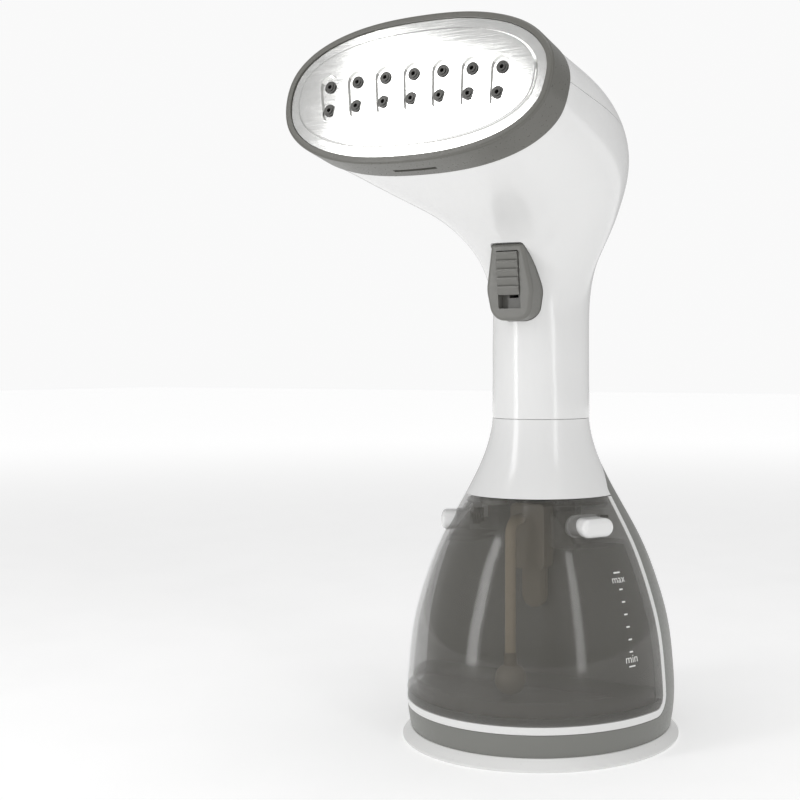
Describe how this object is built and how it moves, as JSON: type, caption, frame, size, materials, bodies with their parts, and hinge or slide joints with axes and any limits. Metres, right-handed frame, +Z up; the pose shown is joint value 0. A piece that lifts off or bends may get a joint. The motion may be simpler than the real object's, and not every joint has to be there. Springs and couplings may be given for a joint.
{
  "type": "garment steamer",
  "caption": "Handheld garment steamer on a round foot, with a lift-off smoky water tank, slide switch, bell-shaped body and wide oval steam plate.",
  "frame": {"origin": "Centre of the underside of the round foot, on the table.", "axes": "+Z is up. The steam plate faces -Y. +X is to the right of somebody who faces the plate."},
  "size_m": [0.118, 0.1668, 0.2839],
  "materials": {
    "white_gloss": "glossy white moulded plastic",
    "white_satin": "satin white moulded plastic",
    "collar_grey": "dark warm grey plastic",
    "pod_grey": "mid warm grey satin plastic",
    "shell_grey": "mid grey satin plastic",
    "vent_dark": "dark grille plastic",
    "plate_steel": "polished stainless steel",
    "nozzle_grey": "heatproof nozzle inserts",
    "gasket": "silicone seal",
    "heater_alloy": "die-cast",
    "element_steel": "sheathed tube",
    "screw_steel": "zinc plated",
    "foot_rubber": "soft pale rubber",
    "tank_smoke": "smoky translucent plastic",
    "tank_trim": "beige plastic",
    "hose": "silicone tube",
    "spring_steel": "spring wire",
    "pump_plastic": "pump housing",
    "coil": "wound coil",
    "board": "circuit board",
    "parts_black": "switch and relay cases",
    "wire": "insulated wire",
    "thermal": "thermostat and fuse cases"
  },
  "bodies": {
    "housing": {"base_foot": "white_satin", "rubber_feet": "foot_rubber", "base_screws": "screw_steel", "rear_shell": "shell_grey", "tank_frame": "white_satin", "skirt_cover": "white_gloss", "front_shell": "white_gloss", "head_cover": "white_gloss", "handle_cover": "white_gloss", "housing_screws": "screw_steel", "rear_vent_grille": "vent_dark", "collar": "collar_grey", "steam_plate": "plate_steel", "steam_nozzles": "nozzle_grey", "plate_gasket": "gasket", "heater_block": "heater_alloy", "heating_element": "element_steel", "boiler_cover": "heater_alloy", "boiler_screws": "screw_steel", "thermostat": "thermal", "thermal_fuse": "thermal", "pump_body": "pump_plastic", "pump_coil": "coil", "pump_mounts": "foot_rubber", "water_hose": "hose", "steam_hose": "hose", "coupling_socket": "foot_rubber", "switch_pod": "pod_grey", "microswitch": "parts_black", "circuit_board": "board", "board_components": "parts_black", "cord_gland": "shell_grey", "cord_clamp": "white_satin", "clamp_screws": "screw_steel", "wiring_harness": "wire"},
    "tank": {"water_tank": "tank_smoke", "tank_base": "tank_smoke", "tank_outlet": "tank_trim", "outlet_oring": "parts_black", "suction_hose": "hose", "filter_weight": "tank_trim", "filler_plug": "foot_rubber", "latch_spring_right": "spring_steel", "latch_spring_left": "spring_steel"},
    "latch_right": {"latch_button_right": "white_gloss"},
    "latch_left": {"latch_button_left": "white_gloss"},
    "switch": {"slide_switch": "pod_grey"}
  },
  "joints": [
    {"name": "tank_slide", "type": "slide", "parent": "housing", "child": "tank", "axis": [0, -1, 0], "range_m": [0, 0.075]},
    {"name": "latch_right_press", "type": "slide", "parent": "tank", "child": "latch_right", "axis": [-0.8746, 0.4848, 0], "range_m": [0, 0.002], "stiffness_N_per_m": 800, "springref_m": -0.002, "deforming": ["latch_spring_right"]},
    {"name": "latch_left_press", "type": "slide", "parent": "tank", "child": "latch_left", "axis": [0.8746, 0.4848, 0], "range_m": [0, 0.002], "stiffness_N_per_m": 800, "springref_m": -0.002, "deforming": ["latch_spring_left"]},
    {"name": "switch_slide", "type": "slide", "parent": "housing", "child": "switch", "axis": [0, 0, -1], "range_m": [0, 0.005]}
  ]
}
